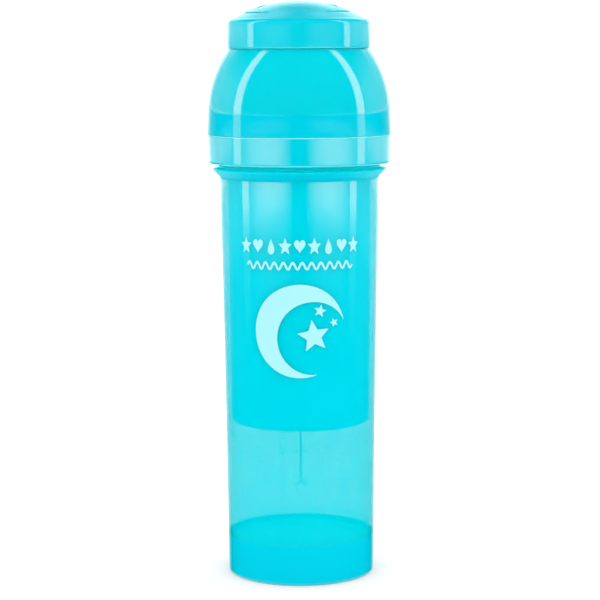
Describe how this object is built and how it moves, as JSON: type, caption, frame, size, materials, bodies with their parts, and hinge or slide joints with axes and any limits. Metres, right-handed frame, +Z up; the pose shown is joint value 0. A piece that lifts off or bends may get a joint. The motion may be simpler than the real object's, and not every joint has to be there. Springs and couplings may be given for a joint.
{
  "type": "baby bottle",
  "caption": "Tall tinted wide-neck baby bottle with a screw collar, silicone teat, domed lid with a round top disc, and a powder container and mixer net inside the neck.",
  "frame": {"origin": "centre of the ring that the bottle stands on", "axes": "+Z up along the bottle's axis; -Y is the printed front, +Y is the side with the scale"},
  "size_m": [0.0708, 0.0708, 0.2221],
  "materials": {
    "tinted_bottle": "clear blue-tinted plastic, polished",
    "inner_plastic": "saturated blue plastic, satin",
    "net_plastic": "white plastic, satin",
    "silicone": "soft clear silicone",
    "collar_plastic": "pastel blue plastic, satin gloss",
    "lid_plastic": "slightly translucent blue plastic, gloss",
    "disc_plastic": "pastel blue plastic, satin gloss"
  },
  "bodies": {
    "bottle": {"bottle_body": "tinted_bottle", "powder_container": "inner_plastic", "powder_container_lid": "inner_plastic", "mixer_net": "net_plastic"},
    "teat": {"teat": "silicone"},
    "collar": {"screw_collar": "collar_plastic"},
    "lid": {"lid_dome": "lid_plastic", "lid_top_disc": "disc_plastic"}
  },
  "joints": [
    {"name": "teat_rise", "type": "slide", "parent": "bottle", "child": "teat", "axis": [0, 0, 1], "range_m": [0, 0.005]},
    {"name": "collar_turn", "type": "hinge", "parent": "teat", "child": "collar", "pos_m": [0, 0, 0.166], "axis": [0, 0, 1], "range_deg": [0, 360]},
    {"name": "lid_lift", "type": "slide", "parent": "collar", "child": "lid", "axis": [0, 0, 1], "range_m": [0, 0.06]}
  ],
  "couplings": [
    {"joint": "teat_rise", "follows": "collar_turn", "m_per_rad": 0.00079577}
  ]
}
